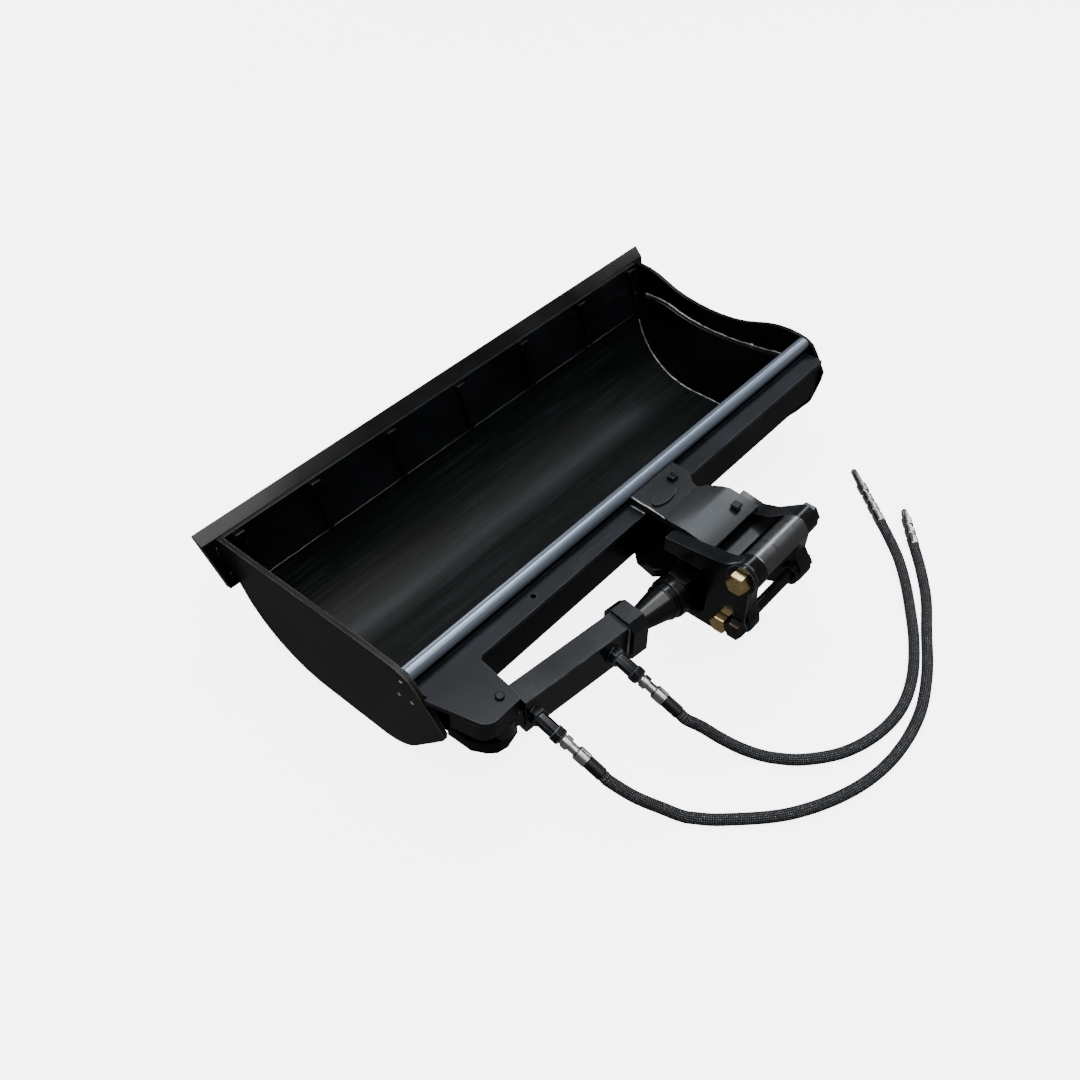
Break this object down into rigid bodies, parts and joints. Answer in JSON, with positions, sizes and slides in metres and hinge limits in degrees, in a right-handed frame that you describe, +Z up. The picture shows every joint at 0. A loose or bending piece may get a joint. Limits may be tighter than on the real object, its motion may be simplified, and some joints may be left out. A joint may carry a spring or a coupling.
{
  "type": "tilting ditch cleaning bucket",
  "caption": "Hydraulic tilting ditch cleaning bucket with straight cutting edge, side tilt cylinder, tilt head with hitch pins, and two supply hoses.",
  "frame": {"origin": "centre of the box around the bucket, head and cylinder without hoses, on the ground plane", "axes": "+X along the width towards the right end, +Y to the cutting edge, +Z up; the mouth faces up"},
  "size_m": [0.999, 0.8776, 0.227],
  "materials": {
    "black_paint": "gloss black wear paint",
    "satin_paint": "satin dark grey paint, dusty",
    "worn_paint": "satin paint polished by handling",
    "bright_steel": "turned bare steel",
    "chrome_rod": "hard chrome plated rod",
    "zinc": "bright zinc plated",
    "gold_zinc": "yellow passivated zinc",
    "dark_steel": "oiled dark steel",
    "seal_rubber": "moulded seal rubber",
    "hose_sleeve": "textile braided hose sleeve",
    "bronze": "sintered bronze"
  },
  "bodies": {
    "bucket": {"cutting_edge": "black_paint", "front_plate": "black_paint", "front_rib_1": "black_paint", "front_rib_2": "black_paint", "front_rib_3": "black_paint", "front_rib_4": "black_paint", "front_rib_5": "black_paint", "front_rib_6": "black_paint", "front_rib_7": "black_paint", "floor_shell": "black_paint", "side_plate_left": "satin_paint", "side_plate_right": "satin_paint", "side_liner_left": "black_paint", "side_liner_right": "black_paint", "rim_bar": "worn_paint", "beam_top_plate": "worn_paint", "beam_angle": "black_paint", "foot_lug_skirt": "satin_paint", "foot_lug_plate": "black_paint", "foot_pin": "zinc", "pivot_lug_top": "satin_paint", "pivot_lug_bottom": "black_paint", "pivot_web": "black_paint", "pivot_pin": "zinc", "pin_lock_plate": "satin_paint", "lock_bolt": "satin_paint"},
    "head": {"head_ear_left": "satin_paint", "head_ear_right": "black_paint", "head_top_plate": "black_paint", "head_bottom_plate": "black_paint", "head_web": "black_paint", "head_tube": "black_paint", "tube_bush": "bronze", "rod_end_pin": "zinc", "head_cover": "satin_paint", "cover_bolt": "satin_paint", "pin_one": "gold_zinc", "pin_two": "dark_steel", "keeper_strap": "satin_paint", "pin_one_nut": "gold_zinc", "pin_two_nut": "dark_steel", "stop_bolt": "gold_zinc"},
    "sleeve": {"pin_one_sleeve": "bright_steel"},
    "barrel": {"barrel_box": "black_paint", "barrel_foot": "black_paint", "foot_bush": "bronze", "barrel_gland": "black_paint", "rod_wiper": "seal_rubber", "port_elbow_outer": "satin_paint", "port_elbow_inner": "satin_paint", "hose_end_outer": "zinc", "hose_end_inner": "zinc", "hose_outer": "hose_sleeve", "hose_inner": "hose_sleeve", "hose_coupler_outer": "zinc", "hose_coupler_inner": "zinc"},
    "rod": {"piston_rod": "chrome_rod", "piston": "bright_steel", "cone_guard": "black_paint", "rod_eye": "black_paint"}
  },
  "joints": [
    {"name": "head_tilt", "type": "hinge", "parent": "bucket", "child": "head", "pos_m": [0.014, -0.162, 0.1232], "axis": [0, 0, 1], "range_deg": [0, 40]},
    {"name": "barrel_swing", "type": "hinge", "parent": "bucket", "child": "barrel", "pos_m": [-0.405, -0.166, 0.1232], "axis": [0, 0, 1], "range_deg": [-1, 1]},
    {"name": "rod_slide", "type": "slide", "parent": "barrel", "child": "rod", "axis": [0.9933, -0.1157, 0], "range_m": [0, 0.0385]},
    {"name": "sleeve_spin", "type": "hinge", "parent": "head", "child": "sleeve", "pos_m": [0.0135, -0.294, 0.203], "axis": [1, 0, 0], "continuous": true}
  ],
  "couplings": [
    {"joint": "rod_slide", "follows": "head_tilt", "m_per_rad": 0.05446},
    {"joint": "barrel_swing", "follows": "head_tilt", "ratio": -0.00545}
  ]
}
